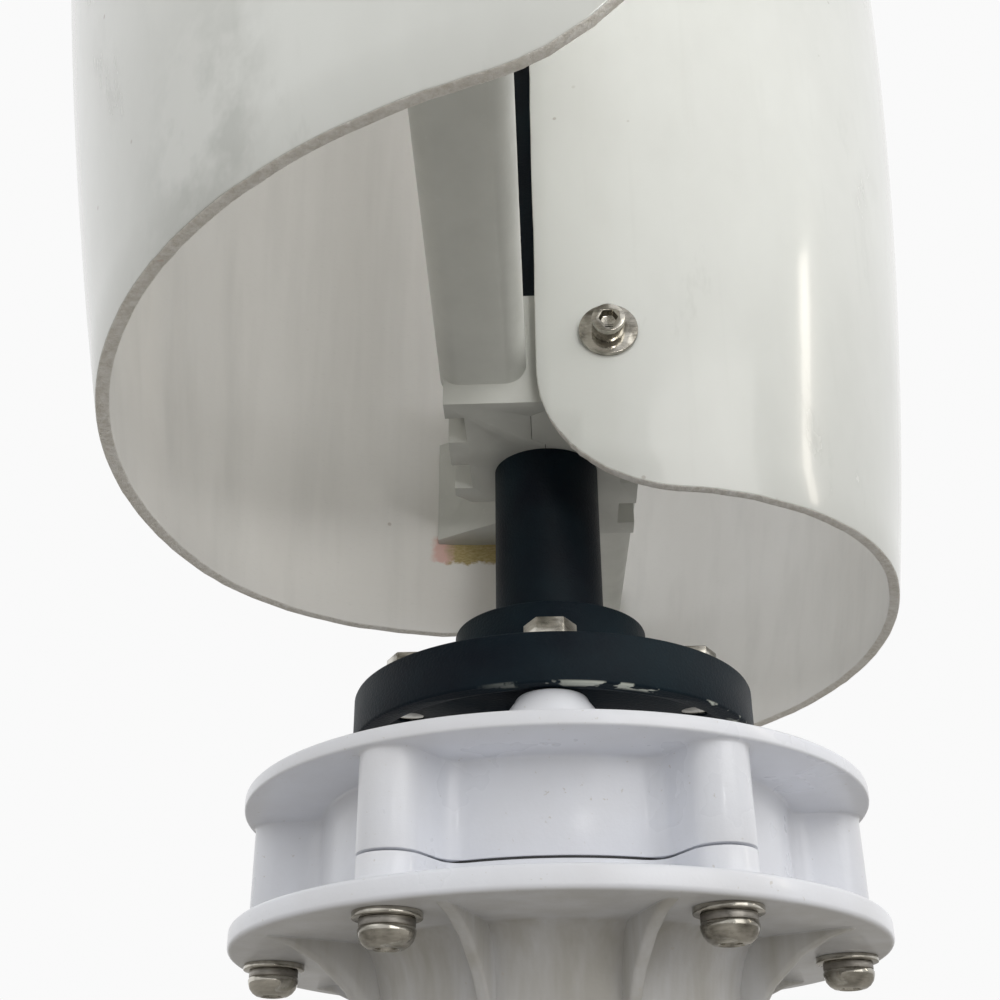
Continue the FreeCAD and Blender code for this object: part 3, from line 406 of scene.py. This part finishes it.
def makeBlackPowder(name, settings, chipped):
    finish = Finish(name, Specular_IOR_Level=0.13)
    place = finish.place
    grains = place.noise(1500, 3, 0.65)
    cloud = place.noise(30, 4).between(0.38, 0.72)
    base = cloud.blend(settings["deep"], settings["worn"])
    rough = cloud * 0.10 + settings["roughness"]
    height = grains + place.cells(1100) * 0.5
    if chipped:  # bare patches and scratches along the lower edge of the rim
        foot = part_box("tube_flange")[0].z
        across, depth, lift = (place.axis(word) for word in "XYZ")
        band = 1 - lift.between(*(foot + part for part in settings["chipHeights"]))
        rim = (across * across + depth * depth).between(
            *(radius ** 2 for radius in settings["chipRadii"]))
        side = across.between(*settings["chipSide"]) * (1 - depth.between(*settings["chipFront"]))
        patches = place.noise(90, 4, 0.6).between(0.50, 0.54) * (band * rim) * side
        flecks = place.noise(330, 4, 0.7).between(0.60, 0.64)
        base = patches.blend(base, flecks.blend(*settings["bare"]))
        rough = rough + patches * 0.2
        height = height + patches * -1.5
    finish.feed("Base Color", base)
    finish.feed("Roughness", rough)
    finish.bump(height, 0.55, settings["grainHeight"])
    return finish.material


# Bare metals and the small plastic and rubber parts

metals = {
    # dark tone, light tone, roughness, scratches across, bump
    "polishedSteel": ((0.12, 0.11, 0.09), (0.60, 0.575, 0.515), 0.09, 240, 0.10),
    "springSteel": ((0.17, 0.16, 0.145), (0.36, 0.34, 0.31), 0.34, 500, 0.30),
    "groundSteel": ((0.45, 0.45, 0.44), (0.66, 0.66, 0.65), 0.22, 700, 0.15),
    "bearingSteel": ((0.58, 0.58, 0.58), (0.76, 0.76, 0.77), 0.10, 900, 0.06),
    "laminatedSteel": ((0.12, 0.12, 0.125), (0.26, 0.26, 0.27), 0.45, 1800, 0.60),
    "magnetNickel": ((0.42, 0.42, 0.41), (0.60, 0.60, 0.58), 0.20, 350, 0.12),
    "enamelledCopper": ((0.42, 0.17, 0.06), (0.72, 0.34, 0.14), 0.28, 1500, 0.70),
}
stainShade = 0.45  # stains are this much of the dark tone


def makeMetal(name, dark, light, rough, across, bump):
    finish = Finish(name, Metallic=1.0)
    place = finish.place
    cloud = place.noise(120, 3, 0.5).between(0.40, 0.64)
    lines = place.stretched(5).noise(across, 4, 0.7)
    stain = place.noise(340, 5, 0.7).between(0.58, 0.72)
    base = (cloud * 0.7 + lines.between(0.4, 0.7) * 0.3).blend(light, dark)
    stained = tuple(stainShade * tone for tone in dark)
    finish.feed("Base Color", (stain * 0.45).blend(base, stained))
    finish.feed("Roughness", cloud * 0.12 + stain * 0.25 + rough)
    finish.bump(lines + cloud * 0.4, bump, 0.0002)
    return finish.material


plastics = {
    # dark tone, light tone, roughness
    "blackRubber": ((0.012, 0.012, 0.013), (0.035, 0.035, 0.036), 0.62),
    "cagePolyamide": ((0.20, 0.09, 0.035), (0.34, 0.17, 0.075), 0.42),
    "blackCap": ((0.014, 0.017, 0.020), (0.035, 0.040, 0.045), 0.38),
}


def makePlastic(name, dark, light, rough):
    finish = Finish(name)
    place = finish.place
    cloud = place.noise(80, 4).between(0.35, 0.7)
    finish.feed("Base Color", cloud.blend(dark, light))
    finish.feed("Roughness", cloud * 0.12 + rough)
    finish.bump(place.noise(1200, 3), 0.4, 0.0002)
    return finish.material


# Modelling steps

def select(piece):
    bpy.ops.object.select_all(action="DESELECT")
    piece.select_set(True)
    bpy.context.view_layer.objects.active = piece


def editing(piece):
    select(piece)
    bpy.ops.object.mode_set(mode="EDIT")
    bpy.context.tool_settings.mesh_select_mode = (True, False, False)
    bpy.ops.mesh.select_all(action="SELECT")


def pick(kind, test):  # in edit mode, selects the verts or edges that pass the test
    mesh = bmesh.from_edit_mesh(bpy.context.object.data)
    bpy.context.tool_settings.mesh_select_mode = (kind == "verts", kind == "edges", False)
    mesh.select_mode = {"VERT" if kind == "verts" else "EDGE"}
    for group in (mesh.faces, mesh.edges, mesh.verts):
        for item in group:
            item.select = False
    for item in getattr(mesh, kind):
        if test(item):
            item.select_set(True)
    bmesh.update_edit_mesh(bpy.context.object.data)


def named(name):
    piece = bpy.context.object
    piece.name = name
    piece.data.name = name
    return piece


def newPoint(name, place):
    bpy.ops.object.select_all(action="DESELECT")
    bpy.ops.mesh.primitive_plane_add(size=mm)
    piece = named(name)
    editing(piece)
    bpy.ops.mesh.merge(type="CENTER")
    bpy.ops.transform.translate(value=place)
    return piece


def lineTo(step):
    bpy.ops.mesh.extrude_vertices_move(TRANSFORM_OT_translate={"value": step})


def arcTo(centre, degrees, count):  # a positive spin goes clockwise
    bpy.ops.mesh.spin(steps=count, angle=-math.radians(degrees), center=centre, axis=up)


def outline(name, profile, centre=(0, 0)):  # radius and height of each corner, in mm
    first = profile[0]
    piece = newPoint(name, (centre[0] + first[0] * mm, centre[1], first[1] * mm))
    for here, after in zip(profile, profile[1:]):
        lineTo(((after[0] - here[0]) * mm, 0, (after[1] - here[1]) * mm))
    return piece


def closeUp():
    bpy.ops.mesh.select_all(action="SELECT")
    bpy.ops.mesh.remove_doubles(threshold=weld)
    bpy.ops.mesh.normals_make_consistent(inside=False)
    bpy.ops.object.mode_set(mode="OBJECT")


def applyModifier(piece, kind, **settings):
    select(piece)
    bpy.ops.object.modifier_add(type=kind)
    modifier = piece.modifiers[-1]
    for word, value in settings.items():
        setattr(modifier, word, value)
    bpy.ops.object.modifier_apply(modifier=modifier.name)


def smooth(piece, angle=35):
    select(piece)
    bpy.ops.object.shade_smooth_by_angle(angle=math.radians(angle))


def settle():
    bpy.ops.object.transform_apply(location=True, rotation=True, scale=True)


def turned(name, profile, rounds, steps, centre):  # solid of revolution about its own axis
    piece = outline(name, profile, centre)
    for radius, height, size, count in rounds:
        corner = Vector((centre[0] + radius * mm, centre[1], height * mm))
        pick("verts", lambda vert: (vert.co - corner).length < samePlace)
        bpy.ops.mesh.bevel(offset=size * mm, offset_type="OFFSET", segments=count,
                           affect="VERTICES")
    bpy.ops.mesh.select_all(action="SELECT")
    bpy.ops.mesh.spin(steps=steps, angle=math.tau, center=(*centre, 0), axis=up)
    closeUp()
    smooth(piece)
    return piece


def joined(first, *others):
    select(first)
    for other in others:
        other.select_set(True)
    bpy.ops.object.join()
    smooth(first)
    return first


def copiesAt(piece, degrees):  # copies turned about the axis, each with its own mesh, then joined
    copies = []
    for angle in degrees:
        select(piece)
        bpy.ops.object.duplicate()
        bpy.ops.transform.rotate(value=-math.radians(angle), orient_axis="Z",
                                 center_override=(0, 0, 0))
        settle()
        copies.append(bpy.context.object)
    name = piece.name
    bpy.data.objects.remove(piece)
    whole = joined(*copies)
    whole.name = name
    return whole


def dress(piece, body, slotName, materials, *nodes):
    for material in materials:
        piece.data.materials.append(material)
    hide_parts(*nodes)
    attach(piece, body)


# Blades, in mm and degrees

blade = {
    "edge": (-2.0, -51.0),  # where the inner edge stands
    "heading": -14,
    "turn": 87,
    "endRadii": (95.6, 160.0),
    "middleRadii": (125.0, 172.0),
    "tailX": -30.0,
    "blankLevel": 0.03,  # the flat blank is as wide as the blade is this far up
    "thickness": 3.6,
    "corner": 42,
    "cornerSteps": 14,
    "columns": 92,
    "rows": 56,
    "closestPoints": 0.4,
    "sawWander": 0.28,
    "sawSeed": 4,
    "edgeRound": 0.5,
    "edgeAngle": 55,
    "smoothAngle": 50,
}


def bladeArcs(settings, level):  # the two arcs of the blade's plan at a level from 0 to 1
    swell = 1 - (1 - 2 * level) ** 2
    inner, outer = (end + swell * (middle - end)
                    for end, middle in zip(settings["endRadii"], settings["middleRadii"]))
    start = math.radians(settings["heading"])
    bend = start + math.radians(settings["turn"])
    edge = Vector((*settings["edge"], 0))
    first = edge + Vector((-math.sin(start), math.cos(start), 0)) * inner
    second = first + Vector((math.sin(bend), -math.cos(bend), 0)) * (inner - outer)
    last = math.pi - math.asin((settings["tailX"] - second.x) / outer)
    return (first, inner, start, bend), (second, outer, bend, last)


def makeBlade(settings, name, materials):
    low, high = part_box("blade_b")
    height = high.z - low.z
    lengths = [radius * (stop - start) * mm
               for centre, radius, start, stop in bladeArcs(settings, settings["blankLevel"])]
    width = sum(lengths)
    bpy.ops.object.select_all(action="DESELECT")
    bpy.ops.mesh.primitive_plane_add(size=1)
    piece = named(name)
    editing(piece)
    bpy.ops.transform.resize(value=(width, height, 1))
    bpy.ops.transform.translate(value=(width / 2, low.z + height / 2, 0))
    bpy.ops.mesh.bevel(offset=settings["corner"] * mm, offset_type="OFFSET", affect="VERTICES",
                       segments=settings["cornerSteps"])
    for count, size, start, way in ((settings["columns"], width, 0, (1, 0, 0)),
                                    (settings["rows"], height, low.z, (0, 1, 0))):
        for step in range(1, count):
            bpy.ops.mesh.select_all(action="SELECT")
            bpy.ops.mesh.bisect(plane_co=Vector(way) * (start + size * step / count),
                                plane_no=way)
    bpy.ops.mesh.select_all(action="SELECT")
    bpy.ops.mesh.remove_doubles(threshold=settings["closestPoints"] * mm)
    pick("edges", lambda edge: edge.is_boundary)
    bpy.ops.transform.vertex_random(offset=settings["sawWander"] * mm, seed=settings["sawSeed"])
    bpy.ops.object.mode_set(mode="OBJECT")
    for vert in piece.data.vertices:  # the flat blank takes the blade's curve
        along, level = vert.co.x, (vert.co.y - low.z) / height
        part = 0 if along < lengths[0] else 1
        share = (along - part * lengths[0]) / lengths[part]
        centre, radius, start, stop = bladeArcs(settings, level)[part]
        angle = start + share * (stop - start)
        spot = centre + Vector((math.sin(angle), -math.cos(angle), 0)) * radius
        vert.co = Vector((spot.x * mm, spot.y * mm, vert.co.y))
    for material in materials:  # outside, inside, sawn edge
        piece.data.materials.append(material)
    applyModifier(piece, "SOLIDIFY", thickness=settings["thickness"] * mm, offset=0,
                  use_even_offset=True, material_offset=1, material_offset_rim=2)
    applyModifier(piece, "BEVEL", limit_method="ANGLE", width=settings["edgeRound"] * mm,
                  angle_limit=math.radians(settings["edgeAngle"]), segments=2,
                  use_clamp_overlap=False)
    smooth(piece, settings["smoothAngle"])
    return piece


def halfTurned(piece, name):
    select(piece)
    bpy.ops.object.duplicate()
    other = named(name)
    bpy.ops.transform.rotate(value=math.pi, orient_axis="Z", center_override=(0, 0, 0))
    settle()
    return other


# Generator housing, in mm

housing = {
    "bosses": 6,
    "bossCircle": 79.6,
    "boss": 8.4,
    "blend": 6.5,
    "wall": 67.0,
    "arcSteps": 8,
}

upperHousing = {
    "start": 119.6,  # height of the outline
    "rings": (  # rise and radius of each ring, from the outline of the wall round to its inside
        (25.0, None), (0, 89.7), (4.1, None), (0, 26.0), (0.5, 24.6), (1.3, 23.4), (6.1, 19.2),
        (7.4, 14.2), (0, 9.0), (-6, None), (0, 12.0), (-12, None), (0, 20.0), (-15, None),
        (0, 26.0), (11, None), (0, 56.0), (-9, None), (0, 62.0), (-13.4, None)),
    "rounds": (  # height, radii between which the edge lies, size, segments
        (144.6, 60, 89.2, 0.9, 4), (144.6, 89.5, 89.9, 0.7, 3), (148.7, 89.5, 89.9, 0.8, 3),
        (164.0, 14.0, 14.4, 1.0, 3), (119.6, 64, 89.2, 0.35, 2)),
}

lowerHousing = {
    "start": 119.0,
    "rings": (
        (-6.7, None), (0, 91.4), (-6.1, None), (0, 62.0), (-0.7, 59.6), (-1.9, 57.6),
        (-3.4, 56.0), (-6.2, 54.4), (-34, 52.2), (-22, 50.9), (-24, 49.5), (-4, 49.9),
        (-1.6, 51.2), (-0.4, 53.0), (0, 65.0), (-8, None), (0, 45.0), (98, None), (2, 35.7),
        (2, 27.0), (-8, None), (0, 16.5), (4, None), (0, 20.0), (12, None), (0, 56.0), (7, None),
        (0, 62.0), (2, None)),
    "rounds": (
        (112.3, 60, 90.5, 1.3, 4), (112.3, 91.2, 91.6, 1.2, 3), (106.2, 91.2, 91.6, 1.4, 4),
        (119.0, 64, 89.2, 0.35, 2), (8.0, 64.5, 65.5, 1.0, 3), (0.0, 64.5, 65.5, 0.8, 3)),
}


def housingOutline(settings, name, height):  # wall circle with its bosses blended into it
    circle, boss, blend, wall = (settings[word] * mm
                                 for word in ("bossCircle", "boss", "blend", "wall"))
    steps, count = settings["arcSteps"], settings["bosses"]
    pitch = 360 / count
    across = boss + blend
    middle = math.sqrt((wall + blend) ** 2 - across ** 2)  # the fillet's centre is here, across
    lean = math.degrees(math.atan2(across, middle))
    piece = newPoint(name, (circle + boss, 0, height))
    for index in range(count):
        turn = Matrix.Rotation(math.radians(pitch * index), 3, "Z")
        arcTo(turn @ Vector((circle, 0, height)), 90, steps)
        lineTo(turn @ Vector((middle - circle, 0, 0)))
        arcTo(turn @ Vector((middle, across, height)), lean - 90, steps)
        arcTo((0, 0, height), pitch - 2 * lean, 2 * steps)
        turn = Matrix.Rotation(math.radians(pitch * (index + 1)), 3, "Z")
        arcTo(turn @ Vector((middle, -across, height)), lean - 90, steps)
        lineTo(turn @ Vector((circle - middle, 0, 0)))
        arcTo(turn @ Vector((circle, 0, height)), 90, steps)
    bpy.ops.mesh.select_all(action="SELECT")
    bpy.ops.mesh.remove_doubles(threshold=1e-5)
    bpy.ops.mesh.select_all(action="SELECT")
    return piece


def ringTo(rise, radius):  # carries the selected loop up, and out or in to a circle
    bpy.ops.mesh.extrude_region_move(TRANSFORM_OT_translate={"value": (0, 0, rise * mm)})
    if radius is None:
        return
    mesh = bmesh.from_edit_mesh(bpy.context.object.data)
    for vert in mesh.verts:
        if vert.select:
            vert.co.x, vert.co.y = vert.co.xy.normalized() * radius * mm
    bmesh.update_edit_mesh(bpy.context.object.data)


def makeHousing(settings, name):
    piece = housingOutline(housing, name, settings["start"] * mm)
    for rise, radius in settings["rings"]:
        ringTo(rise, radius)
    pick("edges", lambda edge: edge.is_boundary)
    bpy.ops.mesh.bridge_edge_loops()
    for level, inner, outer, size, count in settings["rounds"]:
        pick("edges", lambda edge: all(
            abs(vert.co.z - level * mm) < samePlace
            and inner * mm < vert.co.xy.length < outer * mm for vert in edge.verts))
        bpy.ops.mesh.bevel(offset=size * mm, offset_type="OFFSET", segments=count,
                           affect="EDGES")
    closeUp()
    return piece


foot = {  # flared foot on the disc, under the black rim
    "centre": (0, -47 * mm),
    "profile": (
        (0, 147.5), (20.6, 147.5), (20.6, 148.8), (18.4, 149.9), (16.2, 152.2), (14.6, 155.6),
        (13.4, 159.4), (11.7, 162.6), (10.2, 164.6), (9.6, 166.1), (0, 166.1)),
    "rounds": ((9.6, 166.1, 0.8, 5),),
    "steps": 64,
}

rib = {  # webs between the neck and the bottom rim
    "profile": (
        (48, 70), (52.6, 76), (57.0, 85.5), (63.0, 94.0), (71.0, 100.8), (79.0, 104.4),
        (86.0, 106.0), (86.0, 108.0), (48, 108.0)),
    "thickness": 3.4,
    "edgeRound": 1.3,
    "edgeAngle": 50,
    "places": (-150, -108, -72, -30, 30, 90, 150),
}


def makeRib(settings):
    piece = outline("housingRib", settings["profile"])
    bpy.ops.mesh.select_all(action="SELECT")
    bpy.ops.mesh.edge_face_add()
    bpy.ops.object.mode_set(mode="OBJECT")
    applyModifier(piece, "SOLIDIFY", thickness=settings["thickness"] * mm, offset=0)
    applyModifier(piece, "BEVEL", limit_method="ANGLE", width=settings["edgeRound"] * mm,
                  angle_limit=math.radians(settings["edgeAngle"]), segments=3)
    editing(piece)
    closeUp()
    return piece


mountHoles = {
    "count": 4,
    "start": 45,
    "circle": 56.5,
    "radius": 4.5,
    "sides": 32,
    "middle": 4,  # height of the drill's middle
    "depth": 20,
}


def drillMounts(piece, settings):
    circle, count = settings["circle"] * mm, settings["count"]
    for index in range(count):
        angle = math.radians(settings["start"] + 360 * index / count)
        bpy.ops.object.select_all(action="DESELECT")
        bpy.ops.mesh.primitive_cylinder_add(
            vertices=settings["sides"], radius=settings["radius"] * mm,
            depth=settings["depth"] * mm,
            location=(circle * math.cos(angle), circle * math.sin(angle),
                      settings["middle"] * mm))
        drill = bpy.context.object
        applyModifier(piece, "BOOLEAN", object=drill, operation="DIFFERENCE", solver="EXACT")
        bpy.data.objects.remove(drill)


housingScrew = {
    "centre": (80 * mm, 0),
    "profile": (
        (0, 100.4), (2.0, 100.4), (2.5, 99.6), (2.7, 98.1), (3.3, 97.7), (4.4, 97.9), (5.5, 98.6),
        (6.4, 99.7), (6.9, 101.1), (7.0, 102.0), (6.7, 102.6), (3.0, 102.6), (3.0, 138.0),
        (0, 138.0)),
    "steps": 48,
    "places": (0, 60, 120, 180, 240, 300),
}


# Parts that keep the CAD shape, with their edges eased

easedParts = (
    # CAD node, body, slot, finish, eased edge in mm, least angle of an edge
    ("housing_flat_washers", "housing", "stainless", "polishedSteel", 0.2, 40),
    ("housing_spring_washers", "housing", "spring_steel", "springSteel", 0.25, 40),
    ("output_flange", "rotor", "black_coat", "blackPowder", 0.4, 38),
    ("tube_flange", "rotor", "black_coat", "chippedPowder", 1.0, 38),
    ("rotor_tube", "rotor", "black_coat", "blackPowder", 0.5, 38),
    ("tube_cap", "rotor", "cap_plastic", "blackCap", 0.6, 38),
    ("flange_bolts", "rotor", "stainless", "polishedSteel", 0.6, 38),
    ("flange_washers", "rotor", "stainless", "polishedSteel", 0.2, 40),
    ("lower_bracket_a", "rotor", "bracket_plastic", "mouldedNylon", 0.9, 30),
    ("lower_bracket_b", "rotor", "bracket_plastic", "mouldedNylon", 0.9, 30),
    ("upper_bracket_a", "rotor", "bracket_plastic", "mouldedNylon", 0.9, 30),
    ("upper_bracket_b", "rotor", "bracket_plastic", "mouldedNylon", 0.9, 30),
    ("lower_clamp_bolts", "rotor", "stainless", "polishedSteel", 0.4, 38),
    ("upper_clamp_bolts", "rotor", "stainless", "polishedSteel", 0.4, 38),
    ("lower_clamp_nuts", "rotor", "stainless", "polishedSteel", 0.4, 38),
    ("upper_clamp_nuts", "rotor", "stainless", "polishedSteel", 0.4, 38),
    ("lower_blade_screws", "rotor", "stainless", "polishedSteel", 0.4, 38),
    ("upper_blade_screws", "rotor", "stainless", "polishedSteel", 0.4, 38),
    ("lower_blade_washers", "rotor", "stainless", "polishedSteel", 0.2, 40),
    ("upper_blade_washers", "rotor", "stainless", "polishedSteel", 0.2, 40),
    ("lower_blade_nuts", "rotor", "stainless", "polishedSteel", 0.4, 38),
    ("upper_blade_nuts", "rotor", "stainless", "polishedSteel", 0.4, 38),
)
flatWithin = 1.2  # degrees


def easedCopy(node, name, width, angle):
    source = frame["nodes"][node]
    select(source)
    bpy.ops.object.duplicate()
    piece = named(name)
    piece.parent = None
    piece.matrix_world = Matrix.Identity(4)
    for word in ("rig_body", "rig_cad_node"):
        del piece[word]
    piece.data.materials.clear()
    editing(piece)
    bpy.ops.mesh.remove_doubles(threshold=weld)
    bpy.ops.mesh.dissolve_limited(angle_limit=math.radians(flatWithin))
    bpy.ops.object.mode_set(mode="OBJECT")
    applyModifier(piece, "BEVEL", limit_method="ANGLE", angle_limit=math.radians(angle),
                  width=width, segments=2, use_clamp_overlap=True, miter_outer="MITER_ARC")
    smooth(piece)
    return piece


# Parts inside the housing, which stay as they are and only take a finish

insideParts = {
    "blackRubber": ("housing_gasket", "shaft_seal", "cable_grommet"),
    "laminatedSteel": ("stator_core", "rotor_spider"),
    "enamelledCopper": ("stator_coils",),
    "magnetNickel": ("rotor_magnets",),
    "bearingSteel": ("upper_bearing_outer_ring", "lower_bearing_outer_ring",
                     "upper_bearing_inner_ring", "lower_bearing_inner_ring",
                     "upper_bearing_balls", "lower_bearing_balls"),
    "cagePolyamide": ("upper_bearing_cage", "lower_bearing_cage"),
    "groundSteel": ("generator_shaft", "rotor_key", "output_key", "shaft_circlip", "shaft_nut",
                    "shaft_nut_washer"),
}


print("finishes")
finishes = {
    "whiteCoating": makeWhiteCoating(coating),
    "sheetOuter": makeSheetOuter(sheet),
    "sheetInner": makeSheetInner(sheet),
    "sheetEdge": makeSheetEdge(sheet),
    "mouldedNylon": makeNylon(nylon),
    "blackPowder": makeBlackPowder("blackPowder", blackPowder, False),
    "chippedPowder": makeBlackPowder("chippedPowder", blackPowder, True),
}
for name, row in metals.items():
    finishes[name] = makeMetal(name, *row)
for name, row in plastics.items():
    finishes[name] = makePlastic(name, *row)
for name, nodes in insideParts.items():
    for node in nodes:
        mesh = frame["nodes"][node].data
        mesh.materials.clear()
        mesh.materials.append(finishes[name])

print("blades")
bladeSides = [finishes[name] for name in ("sheetOuter", "sheetInner", "sheetEdge")]
bladeB = makeBlade(blade, "bladeB", bladeSides)
bladeA = halfTurned(bladeB, "bladeA")
dress(bladeB, "rotor", "blade_sheet", (), "blade_b")
dress(bladeA, "rotor", "blade_sheet", (), "blade_a")

print("generator housing")
upperPiece = makeHousing(upperHousing, "upperHousing")
footPiece = turned("housingLug", foot["profile"], foot["rounds"], foot["steps"], foot["centre"])
joined(upperPiece, footPiece)
lowerPiece = makeHousing(lowerHousing, "lowerHousing")
drillMounts(lowerPiece, mountHoles)
joined(lowerPiece, copiesAt(makeRib(rib), rib["places"]))
dress(upperPiece, "housing", "white_casting", [finishes["whiteCoating"]], "upper_housing")
dress(lowerPiece, "housing", "white_casting", [finishes["whiteCoating"]], "lower_housing")

print("screws")
screw = turned("housingScrews", housingScrew["profile"], (), housingScrew["steps"],
               housingScrew["centre"])
screws = copiesAt(screw, housingScrew["places"])
dress(screws, "housing", "stainless", [finishes["polishedSteel"]], "housing_screws")

print("parts with eased edges")
for node, body, slotName, finish, ease, angle in easedParts:
    words = node.split("_")
    name = words[0] + "".join(word.capitalize() for word in words[1:])
    piece = easedCopy(node, name, ease * mm, angle)
    dress(piece, body, slotName, [finishes[finish]], node)

print("stage")
addFloorAndSky(studio)
addCamera(camera)
for row in lights:
    addLight(*row)

print("done")
